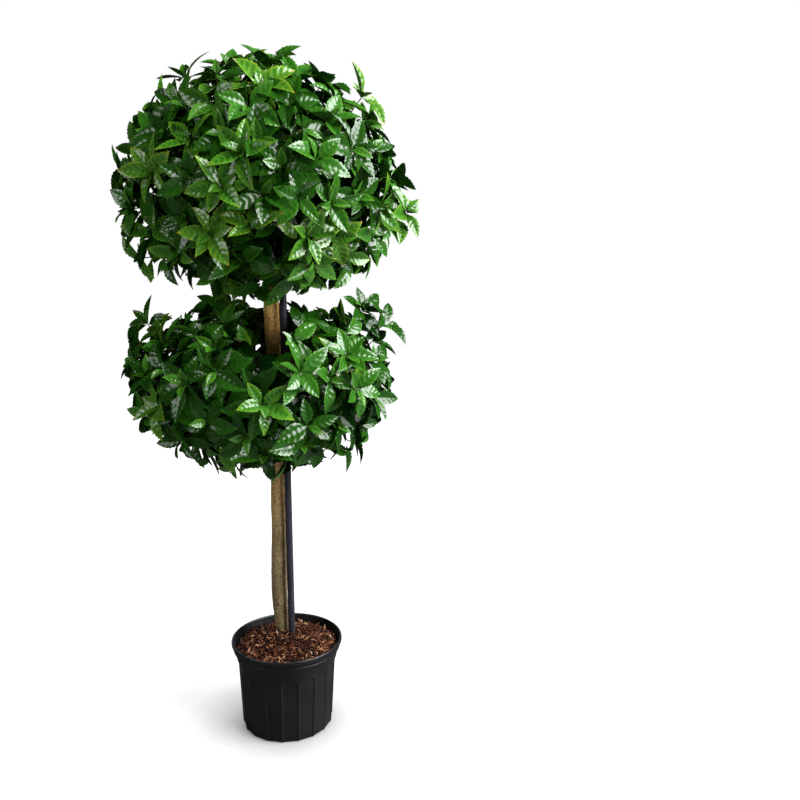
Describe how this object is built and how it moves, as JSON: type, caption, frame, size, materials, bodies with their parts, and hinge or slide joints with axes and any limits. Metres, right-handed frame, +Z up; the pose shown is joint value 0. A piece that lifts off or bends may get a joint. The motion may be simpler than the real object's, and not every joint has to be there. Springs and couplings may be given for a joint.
{
  "type": "artificial double-ball holly topiary in a nursery pot",
  "caption": "Standing artificial holly topiary: a wooden trunk and a pole carry a lower and an upper clipped ball of leaves over a mulched, fluted black pot.",
  "frame": {"origin": "middle of the pot's flat underside, on the surface that the plant stands on", "axes": "+Z up along the trunk, +X to the right and -Y to the front of the pictured side, where the pole stands right of the trunk"},
  "size_m": [0.7072, 0.6753, 1.6203],
  "materials": {
    "pot_plastic": "satin",
    "weight_fill": "rough",
    "bark_mulch": "rough",
    "trunk_wood": "rough",
    "pole_black": "matte",
    "bough_wood": "rough",
    "leaf": "satin"
  },
  "bodies": {
    "root": {"pot": "pot_plastic", "pot_fill": "weight_fill", "mulch": "bark_mulch", "trunk": "trunk_wood", "support_pole": "pole_black", "lower_bough_1": "bough_wood", "lower_bough_2": "bough_wood", "lower_bough_3": "bough_wood", "lower_bough_4": "bough_wood", "lower_bough_5": "bough_wood", "upper_bough_1": "bough_wood", "upper_bough_2": "bough_wood", "upper_bough_3": "bough_wood", "upper_bough_4": "bough_wood", "upper_bough_5": "bough_wood", "lower_foliage": "leaf", "upper_foliage": "leaf"}
  },
  "joints": []
}
